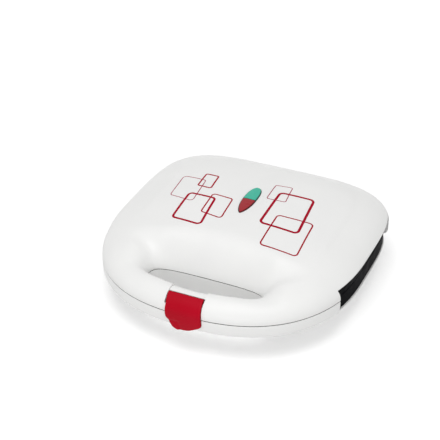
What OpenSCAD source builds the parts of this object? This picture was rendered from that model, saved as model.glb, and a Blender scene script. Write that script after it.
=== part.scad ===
// Sandwich toaster: two hinged housings, each with a plate of triangular pockets, a U-shaped heating
// element and a reflector tray behind it, closed by a latch on the handle.
// X runs across the front, the handle points along -Y and Z is up. Every module is drawn about the
// middle of the housing's plan, and place() then moves the origin to the middle of the whole footprint.

/* [Housing plan] */
// Width of the housing across its widest line
body_w = 230; // [210:1:250]
// Depth of the housing, from the front of the handle to the rear wall
body_d = 231; // [222:1:245]
// How far the widest line lies behind the middle of the plan
waist_y = 8; // [4:1:12]
// Roundness of the bowed front half of the plan
front_power = 2.4; // [2.2:0.1:2.8]
// Roundness of the squarer rear half of the plan
rear_power = 4.3; // [3.6:0.1:4.8]
// Wall thickness of both housings
wall = 2.4; // [2:0.1:2.8]

/* [Heights] */
// Height of the parting plane above the table
part_z = 37; // [36:0.5:42]
// Gap between the two housings along the parting line
seam = 0.6; // [0.4:0.05:0.8]
// Height of the lid's crown above the parting plane
crown_h = 32.5; // [32:0.5:36]
// How much higher the crown line would stand at the rear wall
rear_rise = 4.8; // [3.5:0.1:6]
// Roundness of the lid's section
lid_power = 2.5; // [2.4:0.1:3]
// Height of the step round the raised middle of the lid
panel_step = 0.9; // [0:0.1:1.5]
// Width of the raised middle of the lid
panel_w = 168; // [156:1:176]
// Depth of the rim band of the lower housing below the parting plane
rim_depth = 18; // [17:0.5:19]
// Roundness of the rim band's section
rim_power = 6; // [5:0.5:7]
// Depth of the belly of the lower housing below the parting plane
belly_depth = 32; // [31:0.5:33]

/* [Finger gap] */
// Width of the finger gap behind the handle
gap_w = 102; // [94:1:112]
// Distance from the front of the handle to the middle line of the gap
handle_reach = 38.5; // [37:0.5:40]
// Reach of the gap behind its middle line, towards the plates
gap_rear = 15.9; // [13.5:0.1:16.7]
// Reach of the gap in front of its middle line, towards the handle
gap_front = 16.5; // [14.5:0.1:18]
// Distance over which the lid climbs from the middle of the gap to its crown
scoop_run = 33; // [30:1:38]
// The same distance at the ends of the gap
scoop_end = 25; // [18:1:32]

/* [Side windows] */
// How far each side window reaches past the front edge of the plates
window_lap = 1; // [0:0.5:3]
// Distance from the rear end of each side window to the rear edge of the plates
window_stop = 12; // [12:1:30]
// Height of each side window above the parting plane
window_up = 9.5; // [7:0.5:10]
// Depth of each side window below the parting plane
window_down = 13.5; // [11:0.5:14]

/* [Cooking plates] */
// Distance from the housing's plan outline to the edge of the plates
plate_inset = 5; // [4.5:0.5:7]
// Distance from the finger gap to the front edge of the plates
front_room = 17.1; // [16.8:0.1:18.8]
// Distance from the rear of the housing to the rear edge of the plates
rear_room = 17.5; // [16.5:0.5:19]
// Thickness of the plate casting
plate_t = 2.2; // [1.8:0.1:2.6]
// Height of the skirt round the plates
skirt_h = 5.4; // [4:0.2:5.6]
// Gap between the closed plates
plate_gap = 0.8; // [0.6:0.1:1.2]
// Width of one square of pockets
pocket_w = 92; // [84:1:94]
// Distance from the front and rear edges of the plates to the pockets
plate_margin = 21; // [20.5:0.5:25]
// How deep the pockets are
pocket_deep = 10; // [8:0.5:10.5]
// Width of the ridge along the middle of the plates
ridge_w = 8; // [6:0.5:10]
// Width of the sealing ridge across each square
seal_w = 3; // [2:0.5:4]
// How much each pocket narrows from its mouth to its floor, on every side
draft = 4; // [2:0.5:5]

/* [Heating] */
// Diameter of the heating element's tube
element_d = 6.5; // [6:0.1:7]
// Distance of each leg of the element from the middle
element_x = 50; // [44:1:56]
// Bend radius of the element
element_bend = 20; // [16:1:26]
// Front leg of the element, measured from the front edge of the pockets
element_front = 18; // [14:1:24]
// Sheet thickness of the reflector trays
tray_t = 0.8; // [0.6:0.1:1]
// Diameter of the ceramic beads on the element's ends
bead_d = 9; // [8.5:0.1:9.5]
// Length of the ceramic beads
bead_len = 10; // [7:0.5:11]
// Diameter of the thermostat's case
thermostat_d = 14; // [12:0.5:15]
// Height of the thermostat's case
thermostat_h = 7; // [5:0.5:8]

/* [Fasteners] */
// Thread diameter of the plate screws
screw_d = 3.5; // [3:0.1:4]
// Head diameter of the plate screws
screw_head_d = 6.6; // [6:0.1:7]
// Length of the plate screws under their heads
screw_len = 14; // [12:1:15]
// Diameter of the screw bosses
boss_d = 8; // [7.5:0.5:9]
// Running clearance of a bore round the pin that turns in it, on the radius
running = 0.05; // [0.02:0.01:0.09]
// Free space left round pieces that are laid or dropped into place
loose = 0.3; // [0.2:0.05:0.4]

/* [Hinge] */
// Distance of each hinge from the middle
hinge_x = 52; // [44:1:56]
// Diameter of the hinge knuckles
knuckle_d = 10; // [9:0.5:11]
// Width of the lid's knuckle
knuckle_w = 13; // [11:0.5:15]
// Width of each ear of the lower housing
ear_w = 5; // [4:0.5:6]
// Diameter of the hinge pins
hinge_pin_d = 4; // [3.5:0.1:4.5]
// Gap between each knuckle and the other housing
knuckle_gap = 0.5; // [0.4:0.1:0.8]

/* [Latch] */
// Width of the latch
latch_w = 33; // [30:1:38]
// How far the latch stands proud of the handle
latch_proud = 1.6; // [1.4:0.1:2.2]
// Thickness of the latch
latch_t = 3.2; // [2.8:0.1:3.4]
// Upper end of the latch, above the parting plane
latch_rise = 12; // [11.5:0.5:13]
// Lower end of the latch, below the parting plane
latch_drop = 10.5; // [10:0.5:12]
// Diameter of the latch's barrel
barrel_d = 6.6; // [6.4:0.1:7]
// Diameter of the latch pin
latch_pin_d = 3; // [2.5:0.1:3.2]
// Height of the latch pin above the parting plane
latch_pin_z = 9; // [8.5:0.5:9.5]
// How far the latch pin lies behind the front of the handle
latch_pin_in = 7.6; // [7.4:0.1:8]
// Play between the latch and the notch that it lies in
latch_play = 0.4; // [0.3:0.05:0.6]
// Thickness of the cheeks beside the latch
cheek_t = 2.4; // [2:0.1:3]
// Depth of the catch ledge's underside below the parting plane
catch_z = 6; // [5.5:0.5:7]
// Thickness of the wall behind the catch
catch_wall = 1.6; // [1.2:0.1:2]

/* [Signal lamps] */
// Length of both lenses together
lens_len = 42; // [36:1:46]
// Width of the lenses
lens_w = 12; // [10:0.5:14]
// Place of the line between the lenses, behind the middle of the plan
lens_y = 19.5; // [17:0.5:23]
// How far the lenses stand above the lid
lens_proud = 1.4; // [0.8:0.1:2]
// Diameter of the signal lamps
lamp_d = 4; // [3:0.1:4.4]
// Length of the signal lamps
lamp_len = 12; // [9:0.5:13]

/* [Feet and cord inlet] */
// Diameter of the rubber feet
foot_d = 16; // [13:0.5:18]
// Distance of the feet from the middle
foot_x = 66; // [56:1:70]
// Distance from the front and rear ends of the belly to the feet
foot_inset = 29; // [27:1:36]
// Diameter of the cord that the inlet takes
cord_d = 6.4; // [5.8:0.1:6.4]
// Distance of the cord inlet from the middle
inlet_x = 0; // [-20:1:20]

/* [Hidden] */
FEET = ["foot_front_left", "foot_front_right", "foot_rear_left", "foot_rear_right"];
$fn = 48;
eps = 0.01;

// Snug fit of a fixed round piece in its hole, on the radius
snug = 0.02;

white = [0.93, 0.93, 0.92];
red = [0.69, 0.09, 0.14];
green = [0.25, 0.68, 0.58];
lens_red_tone = [0.6, 0.16, 0.18];
black = [0.05, 0.05, 0.06];
rubber = [0.16, 0.16, 0.17];
steel = [0.72, 0.73, 0.74];
sheet = [0.8, 0.81, 0.82];
ceramic = [0.9, 0.88, 0.82];

// Plan of the housing, and the two faces at the seam
half_w = body_w / 2;
front_reach = body_d / 2 + waist_y;
rear_reach = body_d / 2 - waist_y;
front_y = -body_d / 2;
rear_y = body_d / 2;
gap_y = -front_y - handle_reach;
foot_h = part_z - belly_depth;
gap_front_y = -gap_y - gap_front;
window_in = 32;
window_play = 0.6;

// Hinge and footprint
axis_y = rear_y + knuckle_d / 2 + knuckle_gap;
footprint_shift = (latch_proud - (axis_y + knuckle_d / 2 - rear_y)) / 2;
ear_gap = 0.4;
pin_head = 1.2;

// Plates, measured upwards from the parting plane of the lid and downwards in the base
plate_front = gap_y - gap_rear - front_room;
plate_rear = rear_y - rear_room;
pocket_d = plate_front + plate_rear - 2 * plate_margin;
window_front = plate_front + window_lap;
window_rear = plate_rear - window_stop;
plate_mid = (plate_rear - plate_front) / 2;
plate_face = plate_gap / 2;
pan_back = plate_face + pocket_deep + plate_t;
pan_front = plate_mid - pocket_d / 2 - plate_t;
pan_rear = plate_mid + pocket_d / 2 + plate_t;
pan_in = ridge_w / 2 - plate_t;
pan_out = ridge_w / 2 + pocket_w + plate_t;

// Plate screws: the head lies in a cup of the plate, the shank in a boss of the housing
screw_rows = [(pan_front - plate_front) / 2, (pan_rear + plate_rear) / 2];
screw_head_h = 2;
cup_wall = 1.2;
boss_start = plate_face + screw_head_h + cup_wall;
screw_end = plate_face + screw_head_h + screw_len;

// Element and reflector tray
element_z = pan_back + element_d / 2;
tray_z = pan_back + element_d;
element_front_y = pan_front + element_front;
element_end_y = pan_rear + 4;
element_pin_d = 2;
element_pin = bead_len + 4;
tray_margin = 10;
tray_x = element_x + tray_margin;
tray_front = element_front_y - tray_margin;

// Thermostat and thermal fuse, on the plates' rear margin
flange_back = plate_face + plate_t;
margin_y = (pan_rear + plate_rear - plate_t) / 2;
thermostat_x = 34;
bracket_t = 0.8;
bracket_w = 6;
bracket_foot = 5;
fuse_d = 4;
fuse_len = 14;
fuse_x = -30;

// Latch
notch_half = latch_w / 2 + latch_play;
latch_axis_y = front_y + latch_pin_in;
notch_back_y = latch_axis_y + barrel_d / 2 + 2.5;
latch_in_y = front_y - latch_proud + latch_t;
catch_y = latch_in_y + latch_play;
hook_bite = 1.2;
hook_t = 1.8;
hook_play = 0.4;
catch_back_y = catch_y + hook_bite + latch_play;

// Signal lamps
lens_flange = 1;
lens_flange_h = 1;
lens_seat = crown_h - wall - 2.2;
holder_w = lens_w + 2 * lens_flange;
holder_base = tray_z + tray_t + loose;
peg_d = 5;
peg_inset = 4;
holder_pegs = [lens_y - lens_len / 2 - peg_inset, lens_y + lens_len / 2 + peg_inset];
holder_ear = 2.4;
lamp_y = lens_len / 4;

// Feet
belly_w = 200;
belly_power = 5;
belly_front = gap_y - gap_rear + 1.2;
belly_rear = rear_y - 8;
belly_soft = 20;
belly_mid = (belly_rear - belly_front) / 2;
belly_half = (belly_rear + belly_front) / 2;
foot_y = belly_half - foot_inset;
foot_stem_d = foot_d / 2;
foot_stem = wall + 1;
foot_taper = 1.5;

// Cord inlet
inlet_z = -5.8;
inlet_neck_d = cord_d + 2.2;
inlet_flange_d = cord_d + 3.4;
inlet_barb_d = cord_d + 2.8;
inlet_flange_t = 2;
inlet_collar_d = cord_d + 4.6;
inlet_collar = 5;

// Terminal block, under the lower tray
terminal_w = 30;
terminal_d = 16;
terminal_h = 7.5;
terminal_room = 14;
terminal_y = pan_rear - terminal_room - terminal_d / 2;
terminal_pitch = 10;
terminal_screw_d = 4;
terminal_z = -belly_depth + wall;
lead_d = 2.2;
lead_sides = 8;
lead_bow = 6;
lead_spread = 8;
lead_start = element_end_y + element_pin + lead_d / 2 * cos(180 / lead_sides);

// Radius of the plan outline in the direction of an angle
function plan_r(angle) =
    let (power = sin(angle) < 0 ? front_power : rear_power,
         reach = sin(angle) < 0 ? front_reach : rear_reach)
    pow(pow(abs(cos(angle)) / half_w, power) + pow(abs(sin(angle)) / reach, power), -1 / power);

// Share of the way from the waist to the outline, at a point of the plan
function plan_share(x, y) =
    let (r = norm([x, y - waist_y]))
    r < eps ? 0 : min(1, r / plan_r(atan2(y - waist_y, x)) + eps / 1000);

function plan_points(inset, count) =
    [for (i = [0:count - 1]) let (a = 360 * i / count, r = plan_r(a) - inset)
        [r * cos(a), waist_y + r * sin(a)]];

function clamp(v) = max(0, min(1, v));
function ease(v) = let (t = clamp(v)) t * t * (3 - 2 * t);
function mix(a, b, t) = a + (b - a) * t;
// The smaller of two heights, rounded over the given width where they meet
function soft_min(a, b, width) = let (h = max(width - abs(a - b), 0) / width) min(a, b) - h * h * width / 4;

// The finger gap is a lens: flat at the rear, bowed like the handle in front
gap_rear_power = 4;
// Distance of a plan point from the edge of the gap, 0 inside it
function gap_distance(x, y) =
    let (power = y > -gap_y ? gap_rear_power : 2,
         u = max(abs(x), eps) / (gap_w / 2),
         reach = y > -gap_y ? gap_rear : gap_front,
         v = abs(y + gap_y) / reach,
         level = pow(pow(u, power) + pow(v, power), 1 / power),
         slope = norm([pow(u / level, power - 1) / (gap_w / 2), pow(v / level, power - 1) / reach]))
    max(0, (level - 1) / slope);
// 1 behind the gap, 0 in front of it, easing past its ends
function behind_gap(x, y) = ease(0.5 + (y + gap_y) / norm([x, y + gap_y, 1]));

// Height of the handle's section at a distance from the gap: a lip, then a round shoulder
handle_lip = 10;
handle_rise = 9;
handle_round = 12;
function handle_limit(d) =
    handle_lip + handle_rise * (1 - pow(1 - min(d / handle_round, 1), 2));

// Height of the lid's outer face above the seam
panel_rear = plate_rear - 8;
panel_power = 5;
panel_soft = 4;
blend = 8;
// Height of the lid's edge behind the gap
scoop_lip = 0.9;
// Share of its full height that the lid has reached at a distance behind the gap
function climb(x, d) =
    let (run = mix(scoop_run, scoop_end, pow(min(abs(x) / (gap_w / 2), 1), 2)))
    1 - pow(1 - min(d / run, 1), 2);
function panel(x, y) =
    let (mid = panel_rear - panel_w / 2,
         side = pow(abs(x) / (panel_w / 2), panel_power),
         rear = pow(max(y - mid, 0) / (panel_w / 2), panel_power),
         s = pow(side + rear, 1 / panel_power))
    panel_step * ease((1 - s) * panel_w / 2 / panel_soft + 0.5) * ease((y + plate_front) / plate_front);
function lid_height(x, y) =
    let (share = plan_share(x, y),
         crown = crown_h - seam / 2 - panel_step + rear_rise * (y - waist_y) / rear_reach,
         dome = crown * pow(max(1 - pow(share, lid_power), 0), 1 / lid_power),
         d = gap_distance(x, y),
         handle = soft_min(dome, handle_limit(d), blend),
         scoop = min(dome, mix(scoop_lip, dome, climb(x, d))),
         rounded = mix(handle, scoop, behind_gap(x, y)))
    share >= 1 ? 0 : max(0, rounded + panel(x, y) * clamp(4 * (1 - share)));

// Depth of the lower housing's outer face below the seam
function belly(x, y) =
    let (side = pow(abs(x) / (belly_w / 2), belly_power),
         along = pow(abs(y - belly_mid) / belly_half, belly_power),
         s = pow(side + along, 1 / belly_power))
    ease((1 - s) * belly_half / belly_soft);
function base_depth(x, y) =
    let (share = plan_share(x, y),
         rim = (rim_depth - seam / 2) * pow(max(1 - pow(share, rim_power), 0), 1 / rim_power),
         handle = mix(handle_limit(gap_distance(x, y)), rim_depth * 2, behind_gap(x, y)),
         deep = belly(x, y))
    share >= 1 ? 0
        : max(0, mix(soft_min(rim, handle, blend), belly_depth - seam / 2, deep * clamp(6 * (1 - share))));

// Shares of the way to the outline that the faces are drawn on. Two of them follow the gap's edges.
share_rear = (waist_y + gap_y - gap_rear) / front_reach;
share_front = (waist_y + gap_y + gap_front) / front_reach;
function face_shares(inner, across, outer) =
    concat([for (j = [1:inner]) share_rear * j / inner],
           [for (j = [1:across]) mix(share_rear, share_front, j / across)],
           [for (j = [1:outer]) mix(share_front, 1, sin(90 * j / outer))]);

// A closed solid between the seam and a face whose height follows the plan. up is 1 for the lid and
// -1 for the base. skin moves the face and the outline inwards for the hollow inside.
function face_height(up, x, y) = up > 0 ? lid_height(x, y) : base_depth(x, y);
module shell_solid(up, skin, count, shares) {
    overrun = skin > 0 ? 1 : 0;
    low = -overrun / 2;
    function at(a, s) =
        let (r = plan_r(a),
             x = r * s * cos(a),
             y = waist_y + r * s * sin(a),
             k = (r - skin) / r)
        [x * k, waist_y + (y - waist_y) * k, up * max(low, face_height(up, x, y) - skin)];
    angles = [for (i = [0:count - 1]) let (t = 360 * i / count) t - 8 * sin(t) - 90];
    rings = len(shares);
    points = concat(
        [[0, waist_y, up * (face_height(up, 0, waist_y) - skin)]],
        [for (s = shares, a = angles) at(a, s)],
        [for (a = angles) let (p = at(a, 1)) [p[0], p[1], -up * overrun]]);
    last = overrun > 0 ? rings + 1 : rings;
    function id(j, i) = 1 + (j - 1) * count + i % count;
    faces = concat(
        [for (i = [0:count - 1]) [0, id(1, i + 1), id(1, i)]],
        [for (j = [1:last - 1], i = [0:count - 1]) [id(j, i), id(j, i + 1), id(j + 1, i + 1)]],
        [for (j = [1:last - 1], i = [0:count - 1]) [id(j, i), id(j + 1, i + 1), id(j + 1, i)]],
        [[for (i = [0:count - 1]) id(last, i)]]);
    turned = up > 0 ? faces : [for (f = faces) [for (k = [len(f) - 1:-1:0]) f[k]]];
    polyhedron(points = points, faces = turned);
}

module place() {
    translate([0, footprint_shift, 0]) children();
}

module slab(x0, x1, y0, y1, z0, z1) {
    translate([x0, y0, z0]) cube([x1 - x0, y1 - y0, z1 - z0]);
}

module rod_x(length, diameter) {
    rotate([0, 90, 0]) cylinder(d = diameter, h = length, center = true);
}

// Outline of the gap, grown by a margin
function gap_outline(grow) =
    let (count = 60,
         ring = [for (i = [0:count - 1])
             let (a = 360 * (i + 0.5) / count,
                  power = 2 / (sin(a) > 0 ? gap_rear_power : 2),
                  reach = sin(a) > 0 ? gap_rear : gap_front)
             [gap_w / 2 * sign(cos(a)) * pow(abs(cos(a)), power),
              reach * sign(sin(a)) * pow(abs(sin(a)), power)]])
    [for (i = [0:count - 1])
        let (along = ring[(i + 1) % count] - ring[(i + count - 1) % count])
        ring[i] + grow * [along[1], -along[0]] / norm(along) - [0, gap_y]];

module gap_prism(grow) {
    translate([0, 0, -part_z]) linear_extrude(height = 3 * part_z) polygon(gap_outline(grow));
}

// Both side windows, cut from the parting plane upwards in the lid and downwards in the base
module side_windows(up) {
    for (side = [0, 1])
        mirror([side, 0, 0])
            slab(half_w - window_in, half_w + 5, -window_front, window_rear,
                up > 0 ? -1 : -window_down, up > 0 ? window_up : 1);
}

// Cheeks beside the latch, which carry its pin in the lid and stiffen the handle in the base
module latch_cheeks() {
    for (side = [-1, 1])
        translate([side * (notch_half + cheek_t / 2), (front_y + gap_front_y) / 2, 0])
            cube([cheek_t, gap_front_y - front_y, 3 * part_z], center = true);
}

module screw_columns(diameter, low, high) {
    for (y = screw_rows)
        translate([0, y, low]) cylinder(d = diameter, h = high - low);
}

// The notch in both halves of the handle that the latch lies in
module latch_notch(back, low, high) {
    slab(-notch_half, notch_half, front_y - 10, back, low, high);
}

// ---- Lower housing ----

module hinge_ears() {
    for (side = [-1, 1], end = [-1, 1])
        translate([side * hinge_x + end * (knuckle_w / 2 + ear_gap + ear_w / 2), 0, 0]) {
            translate([0, axis_y, 0]) rod_x(ear_w, knuckle_d);
            slab(-ear_w / 2, ear_w / 2, rear_y - wall - 1.5, axis_y, -knuckle_d / 2, -seam / 2);
        }
}

module base_inside_solids() {
    gap_prism(wall);
    latch_cheeks();
    screw_columns(boss_d, -part_z, -boss_start);
    slab(-notch_half, notch_half, front_y, catch_back_y + catch_wall, -part_z, 0);
    inlet_cylinder(inlet_collar_d, rear_y - inlet_collar, rear_y);
}

module inlet_cylinder(diameter, from_y, to_y) {
    translate([inlet_x, from_y, inlet_z]) rotate([-90, 0, 0]) cylinder(d = diameter, h = to_y - from_y);
}

module hinge_bores(radial) {
    for (side = [-1, 1])
        translate([side * hinge_x, axis_y, 0])
            rod_x(2 * (knuckle_w + ear_w), hinge_pin_d + 2 * radial);
}

module base_housing() color(white) place() translate([0, 0, part_z]) difference() {
    union() {
        difference() {
            translate([0, 0, -seam / 2]) shell_solid(-1, 0, 84, face_shares(5, 4, 6));
            difference() {
                translate([0, 0, -seam / 2]) shell_solid(-1, wall, 48, face_shares(3, 3, 4));
                base_inside_solids();
            }
        }
        hinge_ears();
        inlet_cylinder(inlet_collar_d, rear_y - inlet_collar, rear_y);
    }
    gap_prism(0);
    side_windows(-1);
    latch_notch(catch_y, -part_z, 1);
    latch_notch(catch_back_y, -part_z, -catch_z);
    screw_columns(screw_d + 2 * snug, -screw_end - 1, 0);
    hinge_bores(snug);
    inlet_cylinder(inlet_neck_d + 2 * snug, rear_y - 2 * inlet_collar, rear_y + 1);
    for (x = [-foot_x, foot_x], y = [belly_mid - foot_y, belly_mid + foot_y])
        translate([x, y, -part_z]) cylinder(d = foot_stem_d + 2 * snug, h = foot_h + foot_stem);
}

// ---- Lid ----

module lid_knuckles() {
    for (side = [-1, 1])
        translate([side * hinge_x, 0, 0]) {
            translate([0, axis_y, 0]) rod_x(knuckle_w, knuckle_d);
            slab(-knuckle_w / 2, knuckle_w / 2, rear_y - wall - 1.5, axis_y, seam / 2, knuckle_d / 2);
        }
}

module lid_inside_solids() {
    gap_prism(wall);
    latch_cheeks();
    screw_columns(boss_d, boss_start, part_z);
    for (y = holder_pegs)
        translate([0, y, lens_seat]) cylinder(d = peg_d, h = part_z);
}

module lid_housing() color(white) place() translate([0, 0, part_z]) difference() {
    union() {
        difference() {
            translate([0, 0, seam / 2]) shell_solid(1, 0, 84, face_shares(5, 4, 6));
            difference() {
                translate([0, 0, seam / 2]) shell_solid(1, wall, 48, face_shares(3, 3, 4));
                lid_inside_solids();
            }
        }
        lid_knuckles();
    }
    gap_prism(0);
    side_windows(1);
    translate([0, lens_y, lens_seat + lens_flange_h]) lens_column(loose / 2, part_z);
    latch_notch(notch_back_y, -1, part_z);
    screw_columns(screw_d + 2 * snug, 0, screw_end + 1);
    translate([0, latch_axis_y, latch_pin_z]) rod_x(2 * (notch_half + cheek_t), latch_pin_d + 2 * snug);
    hinge_bores(running);
}

// ---- Plates and heating, drawn for the lid and mirrored for the base ----

// up is 1 for the lid's copy of a piece and -1 for the base's
module half(up) {
    place() translate([0, 0, part_z]) mirror([0, 0, up > 0 ? 0 : 1]) children();
}

module plate_block(inset, low, high) {
    intersection() {
        translate([0, 0, low]) linear_extrude(height = high - low)
            polygon(plan_points(plate_inset + inset, 72));
        slab(-half_w, half_w, -plate_front + inset, plate_rear - inset, low, high);
    }
}

// Outline of a triangular pocket drawn in by a margin, with its right angle at the origin
function pocket_outline(margin) =
    let (across = 1 - (margin + seal_w / 2) * norm([1 / pocket_w, 1 / pocket_d]))
    [[margin, -margin],
     [pocket_w * (across - margin / pocket_d), -margin],
     [margin, -pocket_d * (across - margin / pocket_w)]];

module pocket() {
    hull() {
        translate([0, 0, plate_face - 1]) linear_extrude(height = 1) polygon(pocket_outline(0));
        translate([0, 0, plate_face + pocket_deep - eps]) linear_extrude(height = eps)
            polygon(pocket_outline(draft));
    }
}

// Rim standing on the plate's edge between two places along Y
module plate_skirt(height, y0, y1) {
    intersection() {
        difference() {
            plate_block(0, plate_face, plate_face + height);
            plate_block(plate_t, plate_face, plate_face + height + 1);
        }
        slab(-half_w, half_w, y0, y1, 0, plate_face + height);
    }
}

module plate(up) color(black) half(up) difference() {
    side_skirt = (up > 0 ? window_up : window_down) - plate_face - window_play;
    union() {
        plate_block(0, plate_face, plate_face + plate_t);
        plate_skirt(skirt_h, -plate_front, plate_rear);
        plate_skirt(side_skirt, -window_front + window_play, window_rear - window_play);
        for (side = [0, 1])
            mirror([side, 0, 0]) slab(pan_in, pan_out, pan_front, pan_rear, plate_face, pan_back);
        screw_columns(screw_head_d + 2 * (loose + cup_wall), plate_face, boss_start);
    }
    for (side = [0, 1])
        mirror([side, 0, 0]) {
            translate([ridge_w / 2, plate_mid + pocket_d / 2, 0]) pocket();
            translate([ridge_w / 2 + pocket_w, plate_mid - pocket_d / 2, 0]) rotate([0, 0, 180]) pocket();
        }
    screw_columns(screw_head_d + 2 * loose, 0, plate_face + screw_head_h);
    screw_columns(screw_d + 2 * loose, 0, boss_start + 1);
}

module plate_screws(up) color(steel) half(up) difference() {
    union() {
        screw_columns(screw_head_d, plate_face, plate_face + screw_head_h);
        screw_columns(screw_d, plate_face, screw_end);
    }
    for (y = screw_rows, turn = [0, 90])
        translate([0, y, plate_face]) rotate([0, 0, turn]) cube([screw_d, 0.8, 2], center = true);
}

// U-shaped tube: two legs along Y, two quarter bends and the front leg along X
module element(up) color(steel) half(up) translate([0, 0, element_z]) {
    leg_y = element_front_y + element_bend;
    translate([0, element_front_y, 0]) rod_x(2 * (element_x - element_bend), element_d);
    for (side = [0, 1])
        mirror([side, 0, 0]) {
            translate([element_x - element_bend, leg_y, 0]) rotate([0, 0, -90])
                rotate_extrude(angle = 90) translate([element_bend, 0]) circle(d = element_d);
            translate([element_x, leg_y, 0]) rotate([-90, 0, 0])
                cylinder(d = element_d, h = element_end_y - leg_y);
            translate([element_x, leg_y, 0]) rotate([-90, 0, 0])
                cylinder(d = element_pin_d, h = element_end_y - leg_y + element_pin);
        }
}

module element_beads(up) color(ceramic) half(up)
    for (side = [0, 1])
        mirror([side, 0, 0])
            translate([element_x, element_end_y - 2, element_z]) rotate([-90, 0, 0]) difference() {
                cylinder(d = bead_d, h = bead_len);
                translate([0, 0, -1]) cylinder(d = element_d + 2 * snug, h = 3);
                cylinder(d = element_pin_d + 2 * snug, h = bead_len + 1);
            }

module reflector(up) color(sheet) half(up) difference() {
    slab(-tray_x, tray_x, tray_front, pan_rear, pan_back, tray_z + tray_t);
    slab(-tray_x + tray_t, tray_x - tray_t, tray_front + tray_t, pan_rear - tray_t, 0, tray_z);
    for (side = [-1, 1])
        slab(side * element_x - element_d / 2 - loose, side * element_x + element_d / 2 + loose,
            pan_rear - 5, pan_rear + 5, 0, tray_z);
}

// A bent lead: straight runs between the points of its route
module lead(route) {
    for (i = [0:len(route) - 2])
        hull() {
            translate(route[i]) sphere(d = lead_d, $fn = lead_sides);
            translate(route[i + 1]) sphere(d = lead_d, $fn = lead_sides);
        }
}

// ---- Pieces of the base ----

module foot(i) {
    x = i % 2 == 0 ? -foot_x : foot_x;
    y = i < 2 ? belly_mid - foot_y : belly_mid + foot_y;
    color(rubber) place() translate([x, y, 0]) {
        cylinder(d1 = foot_d - 2 * foot_taper, d2 = foot_d, h = foot_h);
        cylinder(d = foot_stem_d, h = foot_h + foot_stem);
    }
}

module hinge_pin(side) color(steel) place() translate([side * hinge_x, axis_y, part_z]) {
    reach = knuckle_w / 2 + ear_gap + ear_w;
    rod_x(2 * reach, hinge_pin_d);
    translate([side * (reach + pin_head / 2), 0, 0]) rod_x(pin_head, hinge_pin_d + 2.4);
}

module cord_gland() color(rubber) place() translate([0, 0, part_z]) difference() {
    union() {
        inlet_cylinder(inlet_flange_d, rear_y, rear_y + inlet_flange_t);
        inlet_cylinder(inlet_neck_d, rear_y - inlet_collar, rear_y);
        inlet_cylinder(inlet_barb_d, rear_y - inlet_collar - inlet_flange_t, rear_y - inlet_collar);
    }
    inlet_cylinder(cord_d + loose, rear_y - 3 * inlet_collar, rear_y + 2 * inlet_flange_t);
}

module terminal_bores(length) {
    for (side = [-1, 1])
        translate([side * terminal_pitch, terminal_y, part_z + terminal_z + terminal_h - length])
            cylinder(d = terminal_screw_d + 2 * snug, h = length + 1);
}

module terminal_block() color(ceramic) place() difference() {
    translate([0, terminal_y, part_z + terminal_z + terminal_h / 2])
        cube([terminal_w, terminal_d, terminal_h], center = true);
    terminal_bores(terminal_h - 2);
}

module terminal_screws() color(steel) place()
    for (side = [-1, 1])
        translate([side * terminal_pitch, terminal_y, part_z + terminal_z + 2])
            cylinder(d = terminal_screw_d, h = terminal_h - 3);

module thermal_fuse() color(sheet) half(-1)
    translate([fuse_x, margin_y, flange_back + fuse_d / 2]) rod_x(fuse_len, fuse_d);

module base_leads() color(black) half(-1)
    for (side = [0, 1])
        mirror([side, 0, 0]) lead([
            [element_x, lead_start, element_z],
            [element_x - lead_bow, lead_start, element_z],
            [terminal_pitch + lead_spread, pan_rear, -terminal_z - terminal_h / 2],
            [terminal_pitch, terminal_y + (terminal_d + lead_d) / 2, -terminal_z - terminal_h / 2]]);

// ---- Pieces of the lid ----

module thermostat() color(ceramic) half(1)
    translate([thermostat_x, margin_y, flange_back]) cylinder(d = thermostat_d, h = thermostat_h);

module thermostat_bracket() color(steel) half(1) {
    reach = thermostat_d / 2 + bracket_t;
    top = flange_back + thermostat_h + bracket_t;
    translate([thermostat_x, 0, 0]) difference() {
        union() {
            slab(-reach, reach, margin_y - bracket_w / 2, margin_y + bracket_w / 2, flange_back, top);
            slab(-reach - bracket_foot, reach + bracket_foot,
                margin_y - bracket_w / 2, margin_y + bracket_w / 2, flange_back, flange_back + bracket_t);
        }
        slab(-thermostat_d / 2, thermostat_d / 2, margin_y - bracket_w, margin_y + bracket_w,
            flange_back - 1, flange_back + thermostat_h);
    }
}

// Pointed oval of both lenses; the halves meet on the line through its middle
function lens_points(grow) =
    [for (i = [0:31]) let (t = 360 * i / 32, side = cos(t) < 0 ? -1 : 1)
        [side * (lens_w / 2 * pow(abs(cos(t)), 1.2) + grow * abs(cos(t))), (lens_len / 2 + grow) * sin(t)]];

module lens_column(grow, height) {
    linear_extrude(height = height) polygon(lens_points(grow));
}

// The lenses' rounded top, which follows the lid's slope
lens_tip_proud = 0.3;
module lens_crown() {
    tips = [for (end = [-1, 1]) lid_height(0, lens_y + end * lens_len / 2) + seam / 2];
    middle = lid_height(0, lens_y) + seam / 2;
    sag = middle + lens_proud - (tips[0] + tips[1]) / 2 - lens_tip_proud;
    crown_r = pow(lens_len / 2, 2) / (2 * sag);
    rotate([atan((tips[1] - tips[0]) / lens_len), 0, 0])
        translate([0, 0, middle + lens_proud - lens_seat - crown_r])
        rotate([0, 90, 0]) cylinder(r = crown_r, h = 2 * lens_w, center = true, $fn = 180);
}

module lens(end) place() translate([0, lens_y, part_z + lens_seat]) intersection() {
    union() {
        lens_column(lens_flange, lens_flange_h);
        lens_column(0, part_z);
    }
    slab(-lens_w, lens_w, end > 0 ? 0 : -lens_len, end > 0 ? lens_len : 0, 0, part_z);
    lens_crown();
}

module lens_green() color(green) lens(1);
module lens_red() color(lens_red_tone) lens(-1);

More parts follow.
